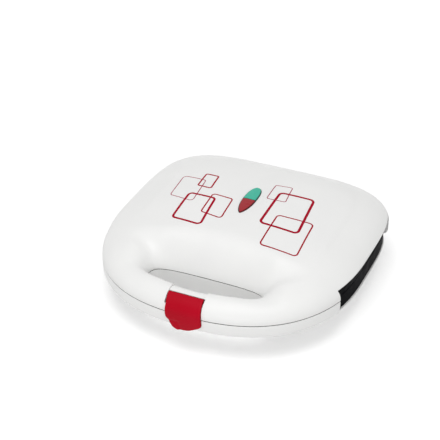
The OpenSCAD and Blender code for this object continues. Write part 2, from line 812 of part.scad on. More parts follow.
module lamp_rod(side, radial) {
    translate([0, lens_y + side * lamp_y, part_z + lens_seat - lamp_d / 2 - 0.5])
        rotate([90, 0, 0]) cylinder(d = lamp_d + 2 * radial, h = lamp_len + 2 * radial, center = true);
}

module lamp_holder() color(ceramic) place() difference() {
    union() {
        translate([0, lens_y, part_z + (holder_base + lens_seat) / 2])
            cube([holder_w, lens_len, lens_seat - holder_base], center = true);
        translate([0, lens_y, part_z + lens_seat - holder_ear / 2])
            cube([peg_d + 2, lens_len + 4 * peg_inset, holder_ear], center = true);
    }
    for (side = [-1, 1]) {
        lamp_rod(side, snug);
        translate([0, lens_y + side * lamp_y, part_z + lens_seat])
            cube([lamp_d - 0.8, lamp_len, lamp_d], center = true);
    }
}

module lamp(side) color(ceramic) place() lamp_rod(side, 0);

module lid_leads() color(black) half(1) {
    lead([[element_x, lead_start, element_z],
          [element_x - lead_bow, lead_start, element_z + lead_d],
          [thermostat_x, margin_y, flange_back + thermostat_h + bracket_t + lead_d / 2]]);
    lead([[-element_x, lead_start, element_z],
          [-element_x + lead_bow, lead_start, element_z + lead_d],
          [-holder_w / 2 - lead_d, pan_rear, holder_base + 2 * lead_d],
          [-holder_w / 2 - lead_d / 2, lens_y + lamp_y, holder_base + 2 * lead_d]]);
}

module latch_pin() color(steel) place()
    translate([0, latch_axis_y, part_z + latch_pin_z])
        rod_x(2 * (notch_half + cheek_t), latch_pin_d);

// ---- Latch ----

// Front of the handle's section at a height above the parting plane
front_crown = crown_h - panel_step - rear_rise * front_reach / rear_reach;
function handle_front(z) =
    waist_y - front_reach * pow(1 - pow(max(z, 0) / front_crown, lid_power), 1 / lid_power);

module latch_profile() {
    steps = 7;
    heights = concat([-latch_drop], [for (i = [0:steps]) latch_rise * i / steps]);
    outer = [for (z = heights) [handle_front(z) - latch_proud, z]];
    inner = [for (i = [len(outer) - 1:-1:0]) outer[i] + [latch_t, 0]];
    polygon(concat(outer, inner));
}

module latch() color(red) place() translate([0, 0, part_z]) difference() {
    union() {
        translate([-latch_w / 2, 0, 0]) rotate([90, 0, 90])
            linear_extrude(height = latch_w) latch_profile();
        translate([0, latch_axis_y, latch_pin_z]) rod_x(latch_w, barrel_d);
        slab(-latch_w / 2, latch_w / 2, latch_in_y - 0.5, catch_y + hook_bite,
            -catch_z - hook_play - hook_t, -catch_z - hook_play);
    }
    translate([0, latch_axis_y, latch_pin_z]) rod_x(2 * latch_w, latch_pin_d + 2 * running);
}

base_housing();
plate(-1);  // lower_plate
element(-1);  // lower_element
element_beads(-1);  // lower_element_beads
reflector(-1);  // lower_reflector
plate_screws(-1);  // lower_plate_screws
hinge_pin(-1);  // hinge_pin_left
hinge_pin(1);  // hinge_pin_right
cord_gland();
terminal_block();
terminal_screws();
thermal_fuse();
base_leads();
for (i = [0:len(FEET) - 1]) foot(i);
lid_housing();
plate(1);  // upper_plate
element(1);  // upper_element
element_beads(1);  // upper_element_beads
reflector(1);  // upper_reflector
plate_screws(1);  // upper_plate_screws
thermostat();
thermostat_bracket();
lens_green();
lens_red();
lamp_holder();
lamp(1);  // lamp_ready
lamp(-1);  // lamp_power
lid_leads();
latch_pin();
latch();
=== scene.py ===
"""Looks of the white sandwich toaster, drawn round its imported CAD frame.

The two housings, the latch and the lenses are drawn again as fine meshes from the same formulas as
their solids, and a comment names each size that differs from theirs. Every other solid of the frame is
shown as it is and gets a material.
Lengths in the shape functions are millimetres, measured from the middle of the housing's plan, with
heights counted from the parting plane. row() turns them into metres in the frame.
"""

import math

import bpy
import numpy as np
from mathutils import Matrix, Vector


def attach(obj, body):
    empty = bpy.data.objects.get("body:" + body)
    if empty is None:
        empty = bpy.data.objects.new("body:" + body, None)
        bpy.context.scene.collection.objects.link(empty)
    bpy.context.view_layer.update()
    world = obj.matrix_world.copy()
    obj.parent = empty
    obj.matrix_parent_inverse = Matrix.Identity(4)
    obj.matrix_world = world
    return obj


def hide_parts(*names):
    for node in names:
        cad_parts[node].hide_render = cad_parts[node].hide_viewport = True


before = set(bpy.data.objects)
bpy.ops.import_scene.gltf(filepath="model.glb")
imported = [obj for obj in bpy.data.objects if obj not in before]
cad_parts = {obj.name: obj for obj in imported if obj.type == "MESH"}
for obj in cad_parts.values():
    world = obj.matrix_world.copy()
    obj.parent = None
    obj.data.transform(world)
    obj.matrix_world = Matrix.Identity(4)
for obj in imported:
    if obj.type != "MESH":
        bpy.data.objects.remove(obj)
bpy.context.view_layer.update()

MM = 0.001

# ---- Sizes shared with the solids, in millimetres ----
# The solids' faces are flat between their points. BODY_W is 0.4 smaller here, CROWN_H 0.1 and KNUCKLE_R
# 0.02, which keeps the rounder meshes inside the solids' box.
BODY_W = 229.6
BODY_D = 231.0
WAIST_Y = 8.0
FRONT_POWER = 2.4
REAR_POWER = 4.3
WALL = 2.4
PART_Z = 37.0
SEAM = 0.6
CROWN_H = 32.4
REAR_RISE = 4.8
LID_POWER = 2.5
PANEL_STEP = 0.9
PANEL_W = 168.0
PANEL_POWER = 5
PANEL_SOFT = 4.0
PANEL_INSET = 8.0
RIM_DEPTH = 18.0
RIM_POWER = 6
BELLY_DEPTH = 32.0
GAP_W = 102.0
GAP_Y = 77.0
GAP_REAR = 15.9
GAP_FRONT = 16.5
GAP_REAR_POWER = 4
SCOOP_RUN = 33.0
SCOOP_END = 25.0
SCOOP_LIP = 0.9
WINDOW_FRONT = 45.0
WINDOW_REAR = 86.0
WINDOW_UP = 9.5
WINDOW_DOWN = 13.5
PLATE_FRONT = 44.0
PLATE_REAR = 98.0
LATCH_W = 33.0
LATCH_PROUD = 1.6
LATCH_T = 3.2
LATCH_PLAY = 0.4
LENS_LEN = 42.0
LENS_W = 12.0
LENS_Y = 19.5
HINGE_X = 52.0
KNUCKLE_D = 10.0
KNUCKLE_R = 4.98
KNUCKLE_W = 13.0
EAR_W = 5.0
EAR_GAP = 0.4
KNUCKLE_GAP = 0.5

HALF_W = BODY_W / 2
FRONT_REACH = BODY_D / 2 + WAIST_Y
REAR_REACH = BODY_D / 2 - WAIST_Y
FRONT_Y = -BODY_D / 2
REAR_Y = BODY_D / 2
AXIS_Y = REAR_Y + KNUCKLE_D / 2 + KNUCKLE_GAP
SHIFT_Y = (LATCH_PROUD - (AXIS_Y + KNUCKLE_D / 2 - REAR_Y)) / 2


def row(points):
    """Millimetre points of the housing as metres in the row frame."""
    moved = np.array(points, float) + (0, SHIFT_Y, PART_Z)
    return moved * MM


# ---- Shape of the housings, the same formulas as in the solids ----
def power_ratio(value, reach, power):
    return (np.abs(value) / reach) ** power


def plan_radius(angle):
    front = np.sin(angle) < 0
    power = np.where(front, FRONT_POWER, REAR_POWER)
    reach = np.where(front, FRONT_REACH, REAR_REACH)
    level = power_ratio(np.cos(angle), HALF_W, power) + power_ratio(np.sin(angle), reach, power)
    return level ** (-1 / power)


def plan_share(x, y):
    angle = np.arctan2(y - WAIST_Y, x)
    return np.hypot(x, y - WAIST_Y) / plan_radius(angle)


def ease(value):
    t = np.clip(value, 0, 1)
    return t * t * (3 - 2 * t)


def mix(a, b, t):
    return a + (b - a) * t


def soft_min(a, b, width):
    h = np.maximum(width - np.abs(a - b), 0) / width
    return np.minimum(a, b) - h * h * width / 4


def gap_distance(x, y):
    rear = y > -GAP_Y
    power = np.where(rear, GAP_REAR_POWER, 2)
    reach = np.where(rear, GAP_REAR, GAP_FRONT)
    u = np.maximum(np.abs(x), 0.01) / (GAP_W / 2)
    v = np.abs(y + GAP_Y) / reach
    level = (u**power + v**power) ** (1 / power)
    slope = np.hypot((u / level) ** (power - 1) / (GAP_W / 2), (v / level) ** (power - 1) / reach)
    return np.maximum(0, (level - 1) / slope)


def behind_gap(x, y):
    return ease(0.5 + (y + GAP_Y) / np.sqrt(x**2 + (y + GAP_Y) ** 2 + 1))


HANDLE_LIP = 10.0
HANDLE_RISE = 9.0
HANDLE_ROUND = 12.0
BLEND = 8.0


def handle_limit(d):
    return HANDLE_LIP + HANDLE_RISE * (1 - (1 - np.minimum(d / HANDLE_ROUND, 1)) ** 2)


def climb(x, d):
    """Share of its full height that the lid has reached at a distance behind the gap."""
    run = mix(SCOOP_RUN, SCOOP_END, np.minimum(np.abs(x) / (GAP_W / 2), 1) ** 2)
    return 1 - (1 - np.minimum(d / run, 1)) ** 2


def panel(x, y):
    mid = PLATE_REAR - PANEL_INSET - PANEL_W / 2
    half = PANEL_W / 2
    level = power_ratio(x, half, PANEL_POWER) + (np.maximum(y - mid, 0) / half) ** PANEL_POWER
    s = level ** (1 / PANEL_POWER)
    return PANEL_STEP * ease((1 - s) * half / PANEL_SOFT + 0.5) * ease((y + PLATE_FRONT) / PLATE_FRONT)


def lid_height(x, y):
    """Height of the lid's outer face above the upper side of the seam."""
    share = np.minimum(plan_share(x, y), 1)
    crown = CROWN_H - SEAM / 2 - PANEL_STEP + REAR_RISE * (y - WAIST_Y) / REAR_REACH
    dome = crown * np.maximum(1 - share**LID_POWER, 0) ** (1 / LID_POWER)
    d = gap_distance(x, y)
    handle = soft_min(dome, handle_limit(d), BLEND)
    scoop = np.minimum(dome, mix(SCOOP_LIP, dome, climb(x, d)))
    rounded = mix(handle, scoop, behind_gap(x, y))
    return np.maximum(0, rounded + panel(x, y) * np.clip(4 * (1 - share), 0, 1))


BELLY_W = 200.0
BELLY_POWER = 5
BELLY_SOFT = 20.0
BELLY_PAST_GAP = 1.2
BELLY_INSET = 8.0
BELLY_FRONT = GAP_Y - GAP_REAR + BELLY_PAST_GAP
BELLY_REAR = REAR_Y - BELLY_INSET
BELLY_MID = (BELLY_REAR - BELLY_FRONT) / 2
BELLY_HALF = (BELLY_REAR + BELLY_FRONT) / 2


def belly(x, y):
    s = power_ratio(x, BELLY_W / 2, BELLY_POWER) + power_ratio(y - BELLY_MID, BELLY_HALF, BELLY_POWER)
    return ease((1 - s ** (1 / BELLY_POWER)) * BELLY_HALF / BELLY_SOFT)


def base_depth(x, y):
    """Depth of the lower housing's outer face below the lower side of the seam."""
    share = np.minimum(plan_share(x, y), 1)
    rim = (RIM_DEPTH - SEAM / 2) * np.maximum(1 - share**RIM_POWER, 0) ** (1 / RIM_POWER)
    handle = mix(handle_limit(gap_distance(x, y)), RIM_DEPTH * 2, behind_gap(x, y))
    deep = belly(x, y) * np.clip(6 * (1 - share), 0, 1)
    return np.maximum(0, mix(soft_min(rim, handle, BLEND), BELLY_DEPTH - SEAM / 2, deep))


def lid_top(x, y):
    """Height of the lid's face above the parting plane at one point."""
    return float(lid_height(np.array([float(x)]), np.array([float(y)]))[0]) + SEAM / 2


# ---- Mesh tools ----
def new_mesh(name, vertices, faces, smooth=True):
    mesh = bpy.data.meshes.new(name)
    mesh.from_pydata([tuple(v) for v in vertices], [], faces)
    mesh.validate()
    mesh.update()
    obj = bpy.data.objects.new(name, mesh)
    bpy.context.scene.collection.objects.link(obj)
    if smooth:
        mesh.polygons.foreach_set("use_smooth", [True] * len(mesh.polygons))
    return obj


def sharpen(obj, degrees):
    """Smooth shading that breaks at edges sharper than the angle."""
    mesh = obj.data
    mesh.polygons.foreach_set("use_smooth", [True] * len(mesh.polygons))
    mesh.set_sharp_from_angle(angle=math.radians(degrees))
    return obj


def grid_faces(rows, columns, closed):
    """Faces of a grid of points that is kept row by row; closed joins the last column to the first."""
    last = columns if closed else columns - 1
    faces = []
    for r in range(rows - 1):
        for c in range(last):
            here, right = r * columns + c, r * columns + (c + 1) % columns
            faces.append((here, right, right + columns, here + columns))
    return faces


def box_mesh(name, low, high):
    corners = [(x, y, z) for x in (low[0], high[0]) for y in (low[1], high[1]) for z in (low[2], high[2])]
    faces = [(0, 1, 3, 2), (4, 6, 7, 5), (0, 4, 5, 1), (2, 3, 7, 6), (0, 2, 6, 4), (1, 5, 7, 3)]
    return new_mesh(name, row(corners), faces, smooth=False)


def prism_mesh(name, outline, low, high):
    """Upright prism over an outline that runs anticlockwise."""
    n = len(outline)
    points = [(x, y, low) for x, y in outline] + [(x, y, high) for x, y in outline]
    faces = [tuple(range(n))[::-1], tuple(range(n, 2 * n))]
    faces += [(i, (i + 1) % n, n + (i + 1) % n, n + i) for i in range(n)]
    return new_mesh(name, row(points), faces, smooth=False)


def rod_mesh(name, start, end, radius, sides=48):
    """Round rod between two millimetre points."""
    start, end = Vector(start), Vector(end)
    along = (end - start).normalized()
    across = along.orthogonal().normalized()
    other = along.cross(across)
    turns = [2 * math.pi * i / sides for i in range(sides)]
    ring = [across * math.cos(turn) + other * math.sin(turn) for turn in turns]
    points = [start + radius * r for r in ring] + [end + radius * r for r in ring]
    faces = [tuple(range(sides))[::-1], tuple(range(sides, 2 * sides))]
    faces += [(i, (i + 1) % sides, sides + (i + 1) % sides, sides + i) for i in range(sides)]
    return new_mesh(name, row(points), faces)


def bake(target):
    """Makes the result of an object's modifiers its mesh."""
    graph = bpy.context.evaluated_depsgraph_get()
    mesh = bpy.data.meshes.new_from_object(target.evaluated_get(graph))
    target.modifiers.clear()
    old = target.data
    target.data = mesh
    bpy.data.meshes.remove(old)


def combine(target, tools, operation):
    """Adds tools to the target's mesh or cuts them from it, and deletes the tools."""
    for tool in tools:
        change = target.modifiers.new("combine", "BOOLEAN")
        change.operation = operation
        change.object = tool
        change.solver = "MANIFOLD"
        bake(target)
        bpy.data.meshes.remove(tool.data)
    return target


# ---- Housings ----
RAYS = 480
EDGE_STEPS = (0, 0.15, 0.4, 0.75, 1.2, 1.8, 2.6, 3.6, 5.0)
MIDDLE_STEPS = 44
RIM_STEPS = 22
RIM_BAND = 13.0
EDGE_ROUND = 2.6
EDGE_SHARE = 0.6
SEAM_ROUND = 0.6
HOLLOW_STEPS = 30


def outline_reach(angle):
    """Distance from the middle of the gap to the plan's outline along a ray."""
    near, far = np.full_like(angle, 20.0), np.full_like(angle, 260.0)
    for _ in range(40):
        middle = (near + far) / 2
        inside = plan_share(middle * np.cos(angle), middle * np.sin(angle) - GAP_Y) < 1
        near = np.where(inside, middle, near)
        far = np.where(inside, far, middle)
    return near


def gap_reach(angle):
    """Distance from the middle of the gap to its edge along a ray."""
    rear = np.sin(angle) > 0
    power = np.where(rear, GAP_REAR_POWER, 2)
    reach = np.where(rear, GAP_REAR, GAP_FRONT)
    level = power_ratio(np.cos(angle), GAP_W / 2, power) + power_ratio(np.sin(angle), reach, power)
    return level ** (-1 / power)


def closed_grid(name, rows, turned):
    """Mesh over rings of points, closed round each ring and from the last to the first; turned flips it."""
    points = np.concatenate(rows)
    count, columns = len(rows), len(rows[0])
    r, c = np.meshgrid(np.arange(count), np.arange(columns), indexing="ij")
    up, right = (r + 1) % count, (c + 1) % columns
    corners = [r * columns + c, r * columns + right, up * columns + right, up * columns + c]
    if turned:
        corners.reverse()
    faces = np.stack(corners, axis=-1).reshape(-1, 4)
    return new_mesh(name, row(points), faces.tolist())


def ring(radius, angle, z):
    """Points round the middle of the gap at one height."""
    x, y = radius * np.cos(angle), radius * np.sin(angle) - GAP_Y
    return np.stack([x, y, np.broadcast_to(z, x.shape)], axis=1)


def outer_rows(height):
    """Rings of the outer face: from the gap's edge over the top and down to the outline."""
    angle = 2 * np.pi * (np.arange(RAYS) + 0.5) / RAYS
    near, far = gap_reach(angle), outline_reach(angle)
    rounding = np.radians([90, 67.5, 45, 22.5, 0])
    rolls = [(SEAM_ROUND * (1 - math.cos(t)), SEAM_ROUND * (1 - math.sin(t))) for t in rounding]
    rows = [ring(near + inset, angle, z) for inset, z in rolls]
    top = [near + step for step in EDGE_STEPS]
    start, end = near + EDGE_STEPS[-1], far - RIM_BAND
    top += [mix(start, end, k / MIDDLE_STEPS) for k in range(1, MIDDLE_STEPS)]
    top += [far - RIM_BAND * (1 - k / RIM_STEPS) ** 2.5 for k in range(RIM_STEPS + 1)]
    for radius in top:
        x, y = radius * np.cos(angle), radius * np.sin(angle) - GAP_Y
        z = height(x, y)
        bend = np.clip(EDGE_ROUND - gap_distance(x, y), 0, EDGE_ROUND)
        z = z - EDGE_SHARE * (EDGE_ROUND - np.sqrt(EDGE_ROUND**2 - bend**2))
        rows.append(np.stack([x, y, np.maximum(z, SEAM_ROUND)], axis=1))
    return rows + [ring(far - inset, angle, z) for inset, z in reversed(rolls)]


def hollow_rows(height):
    """Rings of the hollow inside a housing, which runs a little past the seam."""
    angle = 2 * np.pi * (np.arange(RAYS) + 0.5) / RAYS
    near, far = ring(gap_reach(angle), angle, 0), ring(outline_reach(angle), angle, 0)
    along = np.roll(near, -1, axis=0) - np.roll(near, 1, axis=0)
    outward = np.stack([along[:, 1], -along[:, 0], along[:, 2]], axis=1)
    outward /= np.linalg.norm(outward, axis=1)[:, None]
    middle = np.array([0, WAIST_Y, 0])
    inward = (middle - far) / np.linalg.norm(middle - far, axis=1)[:, None]
    near_wall, far_wall = near + WALL * outward, far + WALL * inward
    rows = [near_wall + (0, 0, -1)]
    for share in 1 - (1 - np.arange(HOLLOW_STEPS + 1) / HOLLOW_STEPS) ** 1.6:
        above = mix(near, far, share)
        face = height(above[:, 0], above[:, 1])
        point = mix(near_wall, far_wall, share)
        point[:, 2] = np.maximum(face - WALL, face / 4)
        rows.append(point)
    return rows + [far_wall + (0, 0, -1)]


def housing(name, up, height, kept_inside):
    """A hollow housing above the seam (up = 1) or below it (up = -1)."""
    def placed(rows):
        return [r * (1, 1, up) + (0, 0, up * SEAM / 2) for r in rows]

    shell = closed_grid(name, placed(outer_rows(height)), up > 0)
    hollow = closed_grid("hollow", placed(hollow_rows(height)), up > 0)
    combine(hollow, kept_inside, "DIFFERENCE")
    return combine(shell, [hollow], "DIFFERENCE")


# FAR, CLEAR and PAST are how far a cutting or filling shape runs beyond what it cuts or fills.
FAR = 60.0
NOTCH_HALF = LATCH_W / 2 + LATCH_PLAY
CHEEK_T = 2.4
LATCH_PIN_Z = 9.0
LATCH_AXIS_Y = FRONT_Y + 7.6
LATCH_ROOM_R = 5.7
LATCH_HEAD_R = LATCH_ROOM_R - 0.4
RECESS = 1.3
CATCH_Y = FRONT_Y - LATCH_PROUD + LATCH_T + LATCH_PLAY
HOOK_REACH = 1.2
CATCH_BACK_Y = CATCH_Y + HOOK_REACH + LATCH_PLAY
CATCH_Z = 6.0
CATCH_WALL = 1.6
BOSS_D = 8.0
SCREW_ROWS = (-33.6, 88.6)
BOSS_START = 3.6
LENS_SEAT = CROWN_H - WALL - 2.2
LENS_LAND = 1.0
INLET_Z = -5.8
INLET_BORE_R = 4.32
COLLAR_R = 5.5
COLLAR_LEN = 5.0
HINGE_BORE_R = 2.02
LATCH_BORE_R = 1.52
KNUCKLE_ROOT = 1.5
WINDOW_DEEP = 32.0
HOOK_PLAY = 0.5  # 0.1 more than in the solid
SHARP_ANGLE = 32
PAST = 1.0
CLEAR = 5.0
BOTH_SIDES = (-1, 1)


def mirrored_boxes(name, low, high):
    """The same box on the right and on the left."""
    left_low, left_high = (-high[0], low[1], low[2]), (-low[0], high[1], high[2])
    return [box_mesh(name, low, high), box_mesh(name, left_low, left_high)]


def latch_cheeks():
    """The solid walls in the handle at both sides of the latch."""
    low = (NOTCH_HALF, FRONT_Y - PAST, -FAR)
    high = (NOTCH_HALF + CHEEK_T, -GAP_Y - GAP_FRONT + PAST, FAR)
    return mirrored_boxes("cheek", low, high)


def bosses(z0, z1):
    """The screw bosses that carry a plate."""
    return [rod_mesh("boss", (0, y, z0), (0, y, z1), BOSS_D / 2) for y in SCREW_ROWS]


def knuckle(x, width, up):
    """A hinge knuckle, or ear of the lower housing, with the arm that carries it."""
    round_part = rod_mesh("knuckle", (x - width / 2, AXIS_Y, 0), (x + width / 2, AXIS_Y, 0), KNUCKLE_R)
    near, far = sorted((up * SEAM / 2, up * KNUCKLE_D / 2))
    arm = box_mesh("arm", (x - width / 2, REAR_Y - WALL - KNUCKLE_ROOT, near), (x + width / 2, AXIS_Y, far))
    return [round_part, arm]


def hinge_bore(x):
    reach = KNUCKLE_W / 2 + EAR_GAP + EAR_W + PAST
    return rod_mesh("bore", (x - reach, AXIS_Y, 0), (x + reach, AXIS_Y, 0), HINGE_BORE_R)


def latch_room():
    """The round hollow behind the latch in which its upper end turns."""
    left, right = latch_sides(LATCH_TOP)[0], latch_sides(LATCH_PIN_Z)[1]
    ends = [(x, LATCH_AXIS_Y, LATCH_PIN_Z) for x in (left - LATCH_PLAY, right + LATCH_PLAY)]
    return rod_mesh("room", *ends, LATCH_ROOM_R, sides=96)


def latch_recess():
    """The shallow recess across the handle above the latch."""
    count = 20
    left, right = latch_sides(LATCH_TOP)
    left, right = left - LATCH_PLAY, right + LATCH_PLAY
    xs = [mix(left, right, i / count) for i in range(count + 1)]
    ys = [mix(FRONT_Y + 5, -GAP_Y - GAP_FRONT + 3, i / count) for i in range(count + 1)]
    rings = []
    for y in ys:
        floor = [(x, y, max(lid_top(x, y) - RECESS, LATCH_PIN_Z)) for x in xs]
        rings.append(floor + [(right, y, FAR), (left, y, FAR)])
    return loft("recess", rings, True)


def hinge_bores():
    return [hinge_bore(side * HINGE_X) for side in BOTH_SIDES]


def inlet_collar():
    """The boss round the cord inlet."""
    return rod_mesh("collar", (0, REAR_Y - COLLAR_LEN, INLET_Z), (0, REAR_Y, INLET_Z), COLLAR_R)


def side_windows(low, high):
    """Boxes that cut both side windows between two heights."""
    inner = (HALF_W - WINDOW_DEEP, -WINDOW_FRONT, low)
    outer = (HALF_W + CLEAR, WINDOW_REAR, high)
    return mirrored_boxes("window", inner, outer)


def make_lid():
    back_low = (-NOTCH_HALF - PAST, LATCH_AXIS_Y, -FAR)
    back_wall = box_mesh("wall", back_low, (NOTCH_HALF + PAST, -GAP_Y - GAP_FRONT, FAR))
    lid = housing("lid_shell", 1, lid_height, latch_cheeks() + bosses(BOSS_START, FAR) + [back_wall])
    combine(lid, [p for side in BOTH_SIDES for p in knuckle(side * HINGE_X, KNUCKLE_W, 1)], "UNION")
    notch = front_prism("notch", latch_outline(LATCH_PLAY), FRONT_Y - 2 * CLEAR, LATCH_AXIS_Y)
    lens_hole = prism_mesh("hole", lens_outline(LENS_PLAY), LENS_SEAT + LENS_LAND, FAR)
    pin_ends = [(side * (NOTCH_HALF + CHEEK_T), LATCH_AXIS_Y, LATCH_PIN_Z) for side in BOTH_SIDES]
    pin_hole = rod_mesh("bore", *pin_ends, LATCH_BORE_R)
    cuts = side_windows(-PAST, WINDOW_UP) + [notch, latch_room(), latch_recess(), lens_hole, pin_hole]
    combine(lid, cuts + hinge_bores(), "DIFFERENCE")
    return sharpen(lid, SHARP_ANGLE)


def make_base():
    catch_high = (NOTCH_HALF, CATCH_BACK_Y + CATCH_WALL, 0)
    catch_block = box_mesh("catch", (-NOTCH_HALF, FRONT_Y, -FAR), catch_high)
    kept_inside = latch_cheeks() + bosses(-FAR, -BOSS_START) + [inlet_collar(), catch_block]
    base = housing("base_shell", -1, base_depth, kept_inside)
    ear_x = KNUCKLE_W / 2 + EAR_GAP + EAR_W / 2
    ear_places = [side * HINGE_X + end * ear_x for side in BOTH_SIDES for end in BOTH_SIDES]
    ears = [p for x in ear_places for p in knuckle(x, EAR_W, -1)]
    combine(base, ears + [inlet_collar()], "UNION")
    notch = front_prism("notch", latch_outline(LATCH_PLAY), FRONT_Y - 2 * CLEAR, CATCH_Y)
    under_half = HOOK_HALF + HOOK_PLAY
    under_low = (-under_half, FRONT_Y - 2 * CLEAR, -FAR)
    under = box_mesh("notch", under_low, (under_half, CATCH_BACK_Y, -CATCH_Z))
    inlet = rod_mesh("bore", (0, REAR_Y - 2 * CLEAR, INLET_Z), (0, REAR_Y + PAST, INLET_Z), INLET_BORE_R)
    cuts = side_windows(-WINDOW_DOWN, PAST) + [notch, under, inlet]
    combine(base, cuts + hinge_bores(), "DIFFERENCE")
    return sharpen(base, SHARP_ANGLE)


# ---- Materials ----
# PAINTED_SHADE_REACH is in metres, as every length in a material is. It is how far the painted shade in seams
# and slots reaches.
PAINTED_SHADE_REACH = 0.0016
MOULD_DRIFT = 22
MOULD_GLOSS = 60
MOULD_GRAIN = 2600
GRAIN_DEPTH = 0.00004


def plain_material(name, color, roughness, **sockets):
    """A principled material, with its nodes, its links and its shader."""
    material = bpy.data.materials.new(name)
    material.use_nodes = True
    nodes = material.node_tree.nodes
    shader = nodes["Principled BSDF"]
    shader.inputs["Base Color"].default_value = (*color, 1)
    shader.inputs["Roughness"].default_value = roughness
    for socket, value in sockets.items():
        shader.inputs[socket].default_value = value
    return material, nodes, material.node_tree.links, shader


def noise(nodes, links, scale, detail=3.0, stretch=(1, 1, 1)):
    """Noise in the object's own space; scale is in features per metre."""
    place = nodes.new("ShaderNodeTexCoord")
    mapping = nodes.new("ShaderNodeMapping")
    mapping.inputs["Scale"].default_value = stretch
    texture = nodes.new("ShaderNodeTexNoise")
    texture.inputs["Scale"].default_value = scale
    texture.inputs["Detail"].default_value = detail
    links.new(place.outputs["Object"], mapping.inputs["Vector"])
    links.new(mapping.outputs["Vector"], texture.inputs["Vector"])
    return texture.outputs["Fac"]


def color_between(nodes, links, factor, first, second):
    """Colour that runs from the first to the second as the factor passes the middle of its range."""
    ramp = nodes.new("ShaderNodeValToRGB")
    ramp.color_ramp.elements[0].position = 0.35
    ramp.color_ramp.elements[0].color = (*first, 1)
    ramp.color_ramp.elements[1].position = 0.65
    ramp.color_ramp.elements[1].color = (*second, 1)
    links.new(factor, ramp.inputs["Fac"])
    return ramp.outputs["Color"]


def number_between(nodes, links, factor, low, high):
    """Number that runs from low to high with the factor."""
    spread = nodes.new("ShaderNodeMapRange")
    spread.inputs["From Min"].default_value = 0.3
    spread.inputs["From Max"].default_value = 0.7
    spread.inputs["To Min"].default_value = low
    spread.inputs["To Max"].default_value = high
    links.new(factor, spread.inputs["Value"])
    return spread.outputs["Result"]


def bump(nodes, links, shader, height, strength, distance, edge_radius):
    """Bump, over a softened edge where an edge radius is given."""
    relief = nodes.new("ShaderNodeBump")
    relief.inputs["Strength"].default_value = strength
    relief.inputs["Distance"].default_value = distance
    links.new(height, relief.inputs["Height"])
    if edge_radius:
        edge = nodes.new("ShaderNodeBevel")
        edge.samples = 6
        edge.inputs["Radius"].default_value = edge_radius
        links.new(edge.outputs["Normal"], relief.inputs["Normal"])
    links.new(relief.outputs["Normal"], shader.inputs["Normal"])


def with_painted_crevice_shade(nodes, links, color, reach):
    """The colour with painted shade: it fades to near black in seams and slots narrower than the reach, where
    ambient occlusion finds them.
    """
    open_share = nodes.new("ShaderNodeAmbientOcclusion")
    open_share.samples = 8
    open_share.inputs["Distance"].default_value = reach
    shade = nodes.new("ShaderNodeMapRange")
    shade.inputs["From Min"].default_value = 0.25
    shade.inputs["From Max"].default_value = 0.6
    shade.inputs["To Min"].default_value = 0.03
    links.new(open_share.outputs["AO"], shade.inputs["Value"])
    mixed = nodes.new("ShaderNodeMix")
    mixed.data_type = "RGBA"
    mixed.inputs["A"].default_value = (0, 0, 0, 1)
    links.new(shade.outputs["Result"], mixed.inputs["Factor"])
    links.new(color, mixed.inputs["B"])
    return mixed.outputs["Result"]


def moulded(name, light, dark, roughness, grain, edge_radius=0.0004, **sockets):
    """Injection-moulded plastic: a faint drift of tone, uneven gloss, painted shade that darkens its seams
    and slots, and a very fine grain.
    """
    material, nodes, links, shader = plain_material(name, light, roughness, **sockets)
    tone = color_between(nodes, links, noise(nodes, links, MOULD_DRIFT, 2), dark, light)
    # Painted shade: the colour darkens to near black in seams and slots that ambient occlusion finds.
    links.new(with_painted_crevice_shade(nodes, links, tone, PAINTED_SHADE_REACH), shader.inputs["Base Color"])
    patches = noise(nodes, links, MOULD_GLOSS, 4)
    gloss = number_between(nodes, links, patches, roughness * 0.85, roughness * 1.15)
    links.new(gloss, shader.inputs["Roughness"])
    bump(nodes, links, shader, noise(nodes, links, MOULD_GRAIN, 2), grain, GRAIN_DEPTH, edge_radius)
    return material


def make_white_plastic():
    sockets = {"Specular IOR Level": 0.4}
    return moulded("white_plastic", (0.86, 0.86, 0.85), (0.84, 0.84, 0.832), 0.42, 0.10, **sockets)


def make_red_plastic():
    sockets = {"Specular IOR Level": 0.07}
    return moulded("red_plastic", (0.46, 0.002, 0.016), (0.43, 0.002, 0.013), 0.4, 0.10, **sockets)


def make_ink(name, light, dark):
    """Printed ink: a little uneven in tone, duller than the plastic under it."""
    return moulded(name, light, dark, 0.5, 0.2, 0, **{"Specular IOR Level": 0.04})


def make_lens(name, light, dark):
    """Tinted plastic with painted shade on its sloping border: the colour darkens where the face tilts away
    from straight up.
    """
    material = moulded(name, light, dark, 0.3, 0.05, 0.0003, **{"Specular IOR Level": 0.2})
    nodes, links = material.node_tree.nodes, material.node_tree.links
    base = nodes["Principled BSDF"].inputs["Base Color"]
    # Painted shade: the height of the object-space normal darkens the colour on the sloping border, to about
    # a fifth of it where the border is steepest.
    place = nodes.new("ShaderNodeTexCoord")
    parts = nodes.new("ShaderNodeSeparateXYZ")
    links.new(place.outputs["Normal"], parts.inputs["Vector"])
    slope = nodes.new("ShaderNodeMapRange")
    slope.inputs["From Min"].default_value = 0.74
    slope.inputs["From Max"].default_value = 0.94
    slope.inputs["To Min"].default_value = 0.22
    links.new(parts.outputs["Z"], slope.inputs["Value"])
    painted_border_shade = nodes.new("ShaderNodeMix")
    painted_border_shade.data_type = "RGBA"
    painted_border_shade.inputs["A"].default_value = (0, 0, 0, 1)
    links.new(slope.outputs["Result"], painted_border_shade.inputs["Factor"])
    links.new(base.links[0].from_socket, painted_border_shade.inputs["B"])
    links.new(painted_border_shade.outputs["Result"], base)
    return material


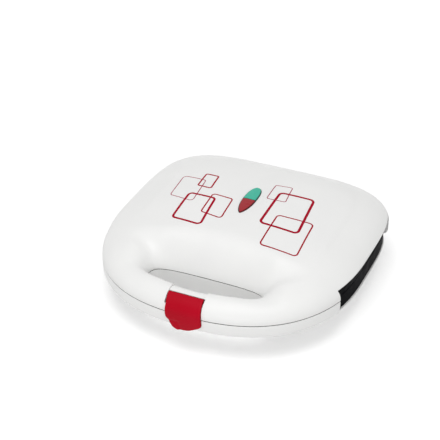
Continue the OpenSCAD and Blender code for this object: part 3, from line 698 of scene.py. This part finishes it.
def make_coating():
    """Black non-stick coating: a fine speckle over a slightly pebbled face."""
    sockets = {"Specular IOR Level": 0.012}
    material, nodes, links, shader = plain_material("plate_coating", (0.003, 0.003, 0.004), 0.5, **sockets)
    speckle = noise(nodes, links, 1500, 2)
    tone = color_between(nodes, links, speckle, (0.0015, 0.0015, 0.0025), (0.005, 0.005, 0.006))
    links.new(tone, shader.inputs["Base Color"])
    gloss = number_between(nodes, links, noise(nodes, links, 90, 3), 0.42, 0.6)
    links.new(gloss, shader.inputs["Roughness"])
    bump(nodes, links, shader, noise(nodes, links, 900, 4), 0.25, 0.0001, 0.0006)
    return material


def make_metal(name, light, dark, roughness, stretch, scale, edge_radius=0.0003):
    """Bare metal with marks drawn out along one direction and a patchy finish."""
    material, nodes, links, shader = plain_material(name, light, roughness, Metallic=1.0)
    tone = color_between(nodes, links, noise(nodes, links, 45, 4), dark, light)
    links.new(tone, shader.inputs["Base Color"])
    marks = noise(nodes, links, scale, 3, stretch)
    gloss = number_between(nodes, links, marks, roughness * 0.75, roughness * 1.3)
    links.new(gloss, shader.inputs["Roughness"])
    bump(nodes, links, shader, marks, 0.2, 0.00003, edge_radius)
    return material


def make_dull(name, light, dark, roughness, scale, strength, edge_radius=0.0004):
    """Dull moulded stuff such as rubber or ceramic, with a grain at the given scale."""
    material, nodes, links, shader = plain_material(name, light, roughness)
    grain = noise(nodes, links, scale, 4)
    links.new(color_between(nodes, links, grain, dark, light), shader.inputs["Base Color"])
    gloss = number_between(nodes, links, noise(nodes, links, 70, 3), roughness * 0.85, roughness)
    links.new(gloss, shader.inputs["Roughness"])
    bump(nodes, links, shader, grain, strength, 0.00006, edge_radius)
    return material


def make_glass():
    """Glass of a neon lamp over its glowing fill."""
    sockets = {"Coat Weight": 1.0, "Coat Roughness": 0.04}
    return moulded("neon_glass", (0.85, 0.5, 0.32), (0.75, 0.4, 0.24), 0.2, 0.05, 0.0002, **sockets)


WHITE_PLASTIC = make_white_plastic()
RED_PLASTIC = make_red_plastic()
RED_INK = make_ink("red_ink", (0.4, 0.002, 0.022), (0.36, 0.002, 0.018))
PALE_INK = make_ink("pale_ink", (0.4, 0.05, 0.09), (0.36, 0.04, 0.08))
GREEN_LENS = make_lens("green_lens", (0.07, 0.52, 0.37), (0.05, 0.46, 0.33))
RED_LENS = make_lens("red_lens", (0.4, 0.02, 0.03), (0.33, 0.015, 0.022))
COATING = make_coating()
DRAWN_STEEL = make_metal("drawn_steel", (0.6, 0.6, 0.59), (0.5, 0.5, 0.49), 0.3, (1, 12, 12), 300)
HOT_STEEL = make_metal("heat_stained_steel", (0.4, 0.37, 0.33), (0.26, 0.22, 0.2), 0.42, (6, 1, 6), 200)
SHEET = make_metal("rolled_sheet", (0.78, 0.78, 0.79), (0.7, 0.7, 0.71), 0.34, (1, 20, 1), 260)
CERAMIC = make_dull("ceramic", (0.8, 0.77, 0.68), (0.72, 0.69, 0.6), 0.75, 900, 0.3)
RUBBER = make_dull("rubber", (0.075, 0.075, 0.08), (0.05, 0.05, 0.055), 0.8, 700, 0.4)
WIRE = make_dull("wire_sleeve", (0.03, 0.03, 0.03), (0.02, 0.02, 0.02), 0.6, 500, 0.2)
GLASS = make_glass()

NODE_MATERIALS = {
    "lower_plate": COATING,
    "upper_plate": COATING,
    "lower_element": HOT_STEEL,
    "upper_element": HOT_STEEL,
    "lower_element_beads": CERAMIC,
    "upper_element_beads": CERAMIC,
    "lower_reflector": SHEET,
    "upper_reflector": SHEET,
    "lower_plate_screws": DRAWN_STEEL,
    "upper_plate_screws": DRAWN_STEEL,
    "hinge_pin_left": DRAWN_STEEL,
    "hinge_pin_right": DRAWN_STEEL,
    "latch_pin": DRAWN_STEEL,
    "cord_gland": RUBBER,
    "terminal_block": CERAMIC,
    "terminal_screws": DRAWN_STEEL,
    "thermal_fuse": SHEET,
    "thermostat": CERAMIC,
    "thermostat_bracket": DRAWN_STEEL,
    "lamp_holder": CERAMIC,
    "lamp_ready": GLASS,
    "lamp_power": GLASS,
    "base_leads": WIRE,
    "lid_leads": WIRE,
    "foot_front_left": RUBBER,
    "foot_front_right": RUBBER,
    "foot_rear_left": RUBBER,
    "foot_rear_right": RUBBER,
}


def dress_nodes():
    """The solids that stay as they are get their material."""
    for name, material in NODE_MATERIALS.items():
        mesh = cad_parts[name].data
        mesh.materials.clear()
        mesh.materials.append(material)


def finish_piece(piece, material, body, slot, *nodes):
    """Gives a drawn piece its material and body, and hides the solids that it stands for."""
    piece.data.materials.clear()
    piece.data.materials.append(material)
    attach(piece, body)
    if nodes:
        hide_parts(*nodes)
    return piece


def loft(name, rings, turned):
    """Closed solid through rings of points with flat ends; turned flips its faces."""
    count = len(rings[0])
    points = [p for line in rings for p in line]
    last = (len(rings) - 1) * count
    faces = grid_faces(len(rings), count, True)
    faces += [tuple(range(count))[::-1], tuple(range(last, last + count))]
    if turned:
        faces = [f[::-1] for f in faces]
    return new_mesh(name, row(points), faces)


# ---- Lenses ----
LENS_PROUD = 1.4
LENS_TIP_PROUD = 0.9  # 0.3 in the solid; here the border's drop takes the tip down to 0.2
LENS_EDGE = 1.1
LENS_DROP = 0.7
LENS_PART = 0.25
LENS_PLAY = 0.3
LENS_CROWN = 0.3
LENS_ROOT = 1.2
LENS_START = 0.012
LENS_SHARE = 0.976


def lens_half_width(s, grow=0.0):
    """Half of the lens pair's width at a share s of the way from its middle to a tip, rear positive."""
    power, taper = (3.6, 0.56) if s > 0 else (1.9, 0.66)
    return (LENS_W / 2 + grow) * max(1 - abs(s) ** power, 0) ** taper


def lens_outline(grow):
    """Leaf shape of both lenses, anticlockwise."""
    sines = [math.sin(math.pi * (k / 40 - 0.5)) for k in range(41)]
    right = [(lens_half_width(s, grow), LENS_Y + s * (LENS_LEN / 2 + grow)) for s in sines]
    left = [(-x, y) for x, y in right[-2:0:-1]]
    return right + left


def make_lens_piece(name, end):
    """One lens: a crowned face with a sloping border, above a wall that goes into the lid."""
    rows = 28
    across = 24
    rings = []
    for k in range(rows + 1):
        s = end * (LENS_START + LENS_SHARE * math.sin(math.pi / 2 * k / rows))
        y = LENS_Y + s * LENS_LEN / 2
        half = lens_half_width(s)
        to_end = (1 - abs(s)) * LENS_LEN / 2
        proud = LENS_TIP_PROUD + (LENS_PROUD - LENS_TIP_PROUD) * (1 - s * s)
        line = [(-half, y, LENS_SEAT + LENS_ROOT)]
        for i in range(across + 1):
            x = half * math.sin(math.pi / 2 * (2 * i / across - 1))
            near = min(half - abs(x), to_end, abs(s) * LENS_LEN / 2 + LENS_PART)
            border = max(0, 1 - near / LENS_EDGE) ** 2
            crown = LENS_CROWN * (x / LENS_W * 2) ** 2
            line.append((x, y, lid_top(0, y) + proud - LENS_DROP * border - crown))
        line.append((half, y, LENS_SEAT + LENS_ROOT))
        rings.append(line)
    return sharpen(loft(name, rings, end < 0), 50)


# ---- Print on the lid ----
INK_LIFT = 0.05
INK_DEPTH = 0.15


class Frame:
    """One printed rectangle: its corners in plan, from the rear left clockwise, and its line's width."""
    def __init__(self, name, line, radius, ink, corners):
        self.name = name
        self.line = line
        self.radius = radius
        self.ink = ink
        self.corners = corners


FRAMES = (
    Frame("print_left_large", 2.1, 3.4, RED_INK,
          ((-53.9, 13.1), (-28.5, 11.2), (-24.6, -28.5), (-52.3, -25.5))),
    Frame("print_left_pale", 0.8, 3.2, PALE_INK,
          ((-72.0, 39.4), (-48.9, 36.2), (-45.9, 0.8), (-69.8, 6.2))),
    Frame("print_left_small", 1.5, 1.6, RED_INK,
          ((-53.3, 47.2), (-40.8, 45.8), (-39.1, 25.0), (-52.5, 26.6))),
    Frame("print_left_front", 1.25, 2.6, RED_INK,
          ((-33.3, 17.5), (-13.8, 15.3), (-11.6, -14.7), (-31.8, -11.3))),
    Frame("print_right_pale", 0.8, 1.8, PALE_INK,
          ((11.8, 52.2), (26.9, 54.1), (29.9, 29.1), (12.7, 28.0))),
    Frame("print_right_large", 2.3, 3.8, RED_INK,
          ((20.4, 41.6), (51.2, 43.0), (55.7, -8.5), (21.1, -7.5))),
    Frame("print_right_front", 1.3, 3.2, RED_INK,
          ((31.1, 8.4), (63.0, 10.2), (65.1, -35.2), (32.1, -34.0))),
)


def rounded_corners(corners, radius, spacing=1.2):
    """Points along a rectangle's middle line, with arcs at its corners, and the outward direction of each."""
    corners = [Vector(c) for c in corners]
    path = []
    for i, corner in enumerate(corners):
        before = (corners[i - 1] - corner).normalized()
        after = (corners[(i + 1) % 4] - corner).normalized()
        half = before.angle(after) / 2
        reach = radius / math.tan(half)
        centre = corner + (before + after).normalized() * radius / math.sin(half)
        start, end = corner + before * reach - centre, corner + after * reach - centre
        turn = math.pi - 2 * half
        for k in range(13):
            t = k / 12
            spoke = (start * math.sin((1 - t) * turn) + end * math.sin(t * turn)) / math.sin(turn)
            path.append((centre + spoke, spoke.normalized()))
    filled = []
    for i, (point, out) in enumerate(path):
        following, next_out = path[(i + 1) % len(path)]
        steps = max(1, round((following - point).length / spacing))
        for k in range(steps):
            filled.append((point.lerp(following, k / steps), out.lerp(next_out, k / steps).normalized()))
    return filled


def make_print(shape):
    """A printed line as a thin strip laid on the lid."""
    path = rounded_corners(shape.corners, shape.radius)
    offsets = (-0.5, -0.5, -0.17, 0.17, 0.5, 0.5)
    lifts = (-INK_DEPTH, INK_LIFT, INK_LIFT, INK_LIFT, INK_LIFT, -INK_DEPTH)
    points = []
    for offset, lift in zip(offsets, lifts):
        for point, out in path:
            place = point + out * offset * shape.line
            points.append((place.x, place.y, lid_top(place.x, place.y) + lift))
    count = len(path)
    faces = grid_faces(len(offsets), count, True)
    last = (len(offsets) - 1) * count
    faces += [(last + i, last + (i + 1) % count, (i + 1) % count, i) for i in range(count)]
    strip = new_mesh(shape.name, row(points), faces)
    return finish_piece(sharpen(strip, 50), shape.ink, "lid", "latch_red")


# ---- Latch ----
LATCH_TOP = 13.6
LATCH_STEP = -6.4
LATCH_LOW = -13.8
# Points (height, x) of the latch's left and right edge, from its top to its lowest point
LATCH_LEFT = (
    (LATCH_TOP, -16.2), (8.0, -14.9), (1.0, -14.7), (-3.0, -14.2),
    (LATCH_STEP, -11.8), (-9.0, -10.5), (-12.3, -7.6), (LATCH_LOW, -3.6))
LATCH_RIGHT = (
    (LATCH_TOP, 14.5), (7.0, 15.7), (0.0, 16.3), (-5.4, 16.45), (-6.8, 15.9),
    (-8.6, 13.2), (-11.0, 9.2), (-12.8, 5.2), (LATCH_LOW, -0.6))
LATCH_BARREL_D = 6.6
LATCH_PIN_D = 3.0
LATCH_EDGE = 0.7
HOOK_HALF = 11.0
HOOK_TOP = -6.4
HOOK_T = 1.8
HOOK_ROOT = 0.5
BARREL_INSET = 0.8
PIN_PLAY = 0.05
THUMB_RIGHT = -1.0
THUMB_TOP = -4.4
THUMB_DEEP = 0.9
THUMB_STEP = 2.4
TUCK_TOP = -2.0
TUCK = 0.008
FRONT_CROWN = CROWN_H - PANEL_STEP - REAR_RISE * FRONT_REACH / REAR_REACH


def handle_front(z):
    """Front of the handle's section at a height above the parting plane."""
    return WAIST_Y - FRONT_REACH * (1 - (max(z, 0) / FRONT_CROWN) ** LID_POWER) ** (1 / LID_POWER)


def curve_through(points, z):
    """Smooth curve through (z, x) points that run downwards."""
    last = len(points) - 1
    i = max(k for k in range(last) if k == 0 or z <= points[k][0])
    (z0, x0), (z1, x1) = points[i], points[i + 1]

    def slope(k):
        before, after = points[max(k - 1, 0)], points[min(k + 1, last)]
        return (after[1] - before[1]) / (after[0] - before[0])

    t = (z - z0) / (z1 - z0)
    run = z1 - z0
    return ((1 + 2 * t) * (1 - t) ** 2 * x0 + t * (1 - t) ** 2 * run * slope(i)
            + t * t * (3 - 2 * t) * x1 + t * t * (t - 1) * run * slope(i + 1))


def latch_sides(z):
    """Left and right edge of the latch at a height: waisted sides above a slanting tongue."""
    return curve_through(LATCH_LEFT, z), curve_through(LATCH_RIGHT, z)


def latch_heights():
    """Heights of the latch's rings, closer together where its outline turns."""
    upper = [mix(LATCH_TOP, LATCH_STEP, 0.5 - 0.5 * math.cos(math.pi * k / 30)) for k in range(31)]
    lower = [LATCH_STEP + (LATCH_LOW - LATCH_STEP) * math.sin(math.pi / 2 * k / 24) for k in range(1, 25)]
    return upper + lower


def latch_outline(grow):
    """Right and left edges of the latch, anticlockwise seen from the front, grown by a margin."""
    heights = latch_heights()
    right = [(latch_sides(z)[1] + grow, z) for z in reversed(heights)]
    left = [(latch_sides(z)[0] - grow, z) for z in heights]
    top = [(right[-1][0], LATCH_TOP + grow), (left[0][0], LATCH_TOP + grow)]
    low = [(left[-1][0], LATCH_LOW - grow), (right[0][0], LATCH_LOW - grow)]
    return right + top + left + low


def front_prism(name, outline, y0, y1):
    """Prism along Y over an outline in (x, z) that runs anticlockwise seen from the front."""
    n = len(outline)
    points = [(x, y0, z) for x, z in outline] + [(x, y1, z) for x, z in outline]
    faces = [tuple(range(n)), tuple(range(n, 2 * n))[::-1]]
    faces += [(n + i, n + (i + 1) % n, (i + 1) % n, i) for i in range(n)]
    return new_mesh(name, row(points), faces, smooth=False)


def latch_relief(x, z):
    """How far the latch's face stands back: it tucks under, and has a thumb hollow at the lower left."""
    tucked = TUCK * max(TUCK_TOP - z, 0) ** 2
    thumb = THUMB_DEEP * (z - LATCH_LOW) / (THUMB_TOP - LATCH_LOW)
    inside = soft_min(THUMB_RIGHT - x, THUMB_TOP - z, 1.5)
    return mix(tucked, thumb, ease(inside / THUMB_STEP))


def latch_plate():
    """The latch's bent plate: a face that follows the handle, with rounded edges and a thumb hollow."""
    across = 36
    rings = []
    for z in latch_heights():
        left, right = latch_sides(z)
        face_y = handle_front(z) - LATCH_PROUD
        back_y = face_y + LATCH_T
        if z > LATCH_PIN_Z:
            back_y = min(back_y, LATCH_AXIS_Y + math.sqrt(LATCH_HEAD_R**2 - (z - LATCH_PIN_Z) ** 2))
        front, back = [], []
        for i in range(across + 1):
            x = mix(left, right, 0.5 - 0.5 * math.cos(math.pi * i / across))
            edge = min(x - left, right - x, LATCH_TOP - z, (z - LATCH_LOW) * 1.5)
            bend = min(max(LATCH_EDGE - edge, 0), LATCH_EDGE)
            rounding = LATCH_EDGE - math.sqrt(LATCH_EDGE**2 - bend**2)
            front.append((x, face_y + rounding + latch_relief(x, z), z))
            back.append((x, back_y, z))
        rings.append(front[::-1] + back)
    return loft("latch", rings, False)


def make_latch():
    latch = latch_plate()
    left, right = latch_sides(LATCH_PIN_Z)
    barrel_ends = [(x, LATCH_AXIS_Y, LATCH_PIN_Z) for x in (left + BARREL_INSET, right - BARREL_INSET)]
    barrel = rod_mesh("barrel", *barrel_ends, LATCH_BARREL_D / 2)
    inner_y = FRONT_Y - LATCH_PROUD + LATCH_T
    hook_low = (-HOOK_HALF, inner_y - HOOK_ROOT, HOOK_TOP - HOOK_T)
    hook = box_mesh("hook", hook_low, (HOOK_HALF, CATCH_Y + HOOK_REACH, HOOK_TOP))
    combine(latch, [barrel, hook], "UNION")
    bore_ends = [(side * LATCH_W, LATCH_AXIS_Y, LATCH_PIN_Z) for side in BOTH_SIDES]
    bore = rod_mesh("bore", *bore_ends, LATCH_PIN_D / 2 + PIN_PLAY)
    combine(latch, [bore], "DIFFERENCE")
    return sharpen(latch, 35)


# ---- The toaster ----
def make_toaster():
    finish_piece(make_lid(), WHITE_PLASTIC, "lid", "housing_white", "lid_housing")
    finish_piece(make_base(), WHITE_PLASTIC, "base", "housing_white", "base_housing")
    finish_piece(make_lens_piece("lens_green_top", 1), GREEN_LENS, "lid", "lens_green", "lens_green")
    finish_piece(make_lens_piece("lens_red_top", -1), RED_LENS, "lid", "lens_red", "lens_red")
    finish_piece(make_latch(), RED_PLASTIC, "latch", "latch_red", "latch")
    for shape in FRAMES:
        make_print(shape)
    dress_nodes()


# ---- Floor, lights and camera ----
# FLOOR_NEAR and FLOOR_FAR are metres from the middle; between them the floor lightens to plain white.
WORLD_LIGHT = 0.53
FLOOR_LIFT = 0.28
FLOOR_NEAR = 0.3
FLOOR_FAR = 0.9


def seen_by_eye(nodes, links):
    """1 for rays from the camera and for reflections and refractions of them, else 0."""
    paths = nodes.new("ShaderNodeLightPath")
    total = paths.outputs["Is Camera Ray"]
    for ray in ("Is Glossy Ray", "Is Transmission Ray"):
        larger = nodes.new("ShaderNodeMath")
        larger.operation = "MAXIMUM"
        links.new(total, larger.inputs[0])
        links.new(paths.outputs[ray], larger.inputs[1])
        total = larger.outputs["Value"]
    return total


def make_floor():
    """White floor that keeps the toaster's shadow and shows as white behind it."""
    size = 4.0
    corners = [(-size, -size, 0), (size, -size, 0), (size, size, 0), (-size, size, 0)]
    floor = new_mesh("floor", corners, [(0, 1, 2, 3)], smooth=False)
    material, nodes, links, shader = plain_material("floor_white", (0.9, 0.9, 0.9), 0.7)
    shader.inputs["Specular IOR Level"].default_value = 0.0
    shader.inputs["Emission Color"].default_value = (1, 1, 1, 1)
    place = nodes.new("ShaderNodeTexCoord")
    away = nodes.new("ShaderNodeVectorMath")
    away.operation = "LENGTH"
    links.new(place.outputs["Object"], away.inputs[0])
    lift = nodes.new("ShaderNodeMapRange")
    lift.inputs["From Min"].default_value = FLOOR_NEAR
    lift.inputs["From Max"].default_value = FLOOR_FAR
    lift.inputs["To Min"].default_value = FLOOR_LIFT
    lift.inputs["To Max"].default_value = 1.0
    links.new(away.outputs["Value"], lift.inputs["Value"])
    seen = nodes.new("ShaderNodeMath")
    seen.operation = "MULTIPLY"
    links.new(seen_by_eye(nodes, links), seen.inputs[0])
    links.new(lift.outputs["Result"], seen.inputs[1])
    links.new(seen.outputs["Value"], shader.inputs["Emission Strength"])
    floor.data.materials.append(material)


def make_world():
    world = bpy.data.worlds.new("studio")
    world.use_nodes = True
    bpy.context.scene.world = world
    nodes, links = world.node_tree.nodes, world.node_tree.links
    background = nodes["Background"]
    background.inputs["Color"].default_value = (1, 1, 1, 1)
    strength = nodes.new("ShaderNodeMapRange")
    strength.inputs["To Min"].default_value = WORLD_LIGHT
    strength.inputs["To Max"].default_value = 1.0
    links.new(seen_by_eye(nodes, links), strength.inputs["Value"])
    links.new(strength.outputs["Result"], background.inputs["Strength"])


def make_light(name, place, target, size, power):
    """A round soft light, in metres and watts, that faces the target."""
    light = bpy.data.lights.new(name, "AREA")
    light.shape = "DISK"
    light.size = size
    light.energy = power
    lamp = bpy.data.objects.new(name, light)
    lamp.location = place
    aim = Vector(target) - Vector(place)
    lamp.rotation_euler = aim.to_track_quat("-Z", "Y").to_euler()
    bpy.context.scene.collection.objects.link(lamp)


def make_lights():
    middle = (0, 0, 0.04)
    make_light("key", (0.08, -0.45, 1.5), middle, 1.0, 10.5)
    make_light("fill", (0.35, -1.3, 0.35), middle, 1.0, 2.6)


CAMERA_AZIMUTH = math.radians(24.345)
CAMERA_ELEVATION = math.radians(32.317)
CAMERA_PLACE = (0.3427, -0.8038, 0.6107)
CAMERA_LENS = 98.2


def make_camera():
    camera = bpy.data.cameras.new("camera")
    camera.lens = CAMERA_LENS
    camera.sensor_width = 36
    holder = bpy.data.objects.new("camera", camera)
    back = Vector((
        math.sin(CAMERA_AZIMUTH) * math.cos(CAMERA_ELEVATION),
        -math.cos(CAMERA_AZIMUTH) * math.cos(CAMERA_ELEVATION),
        math.sin(CAMERA_ELEVATION)))
    holder.rotation_euler = (-back).to_track_quat("-Z", "Y").to_euler()
    holder.location = CAMERA_PLACE
    bpy.context.scene.collection.objects.link(holder)
    bpy.context.scene.camera = holder


make_toaster()
make_floor()
make_world()
make_lights()
make_camera()
bpy.context.scene.view_settings.view_transform = "Standard"
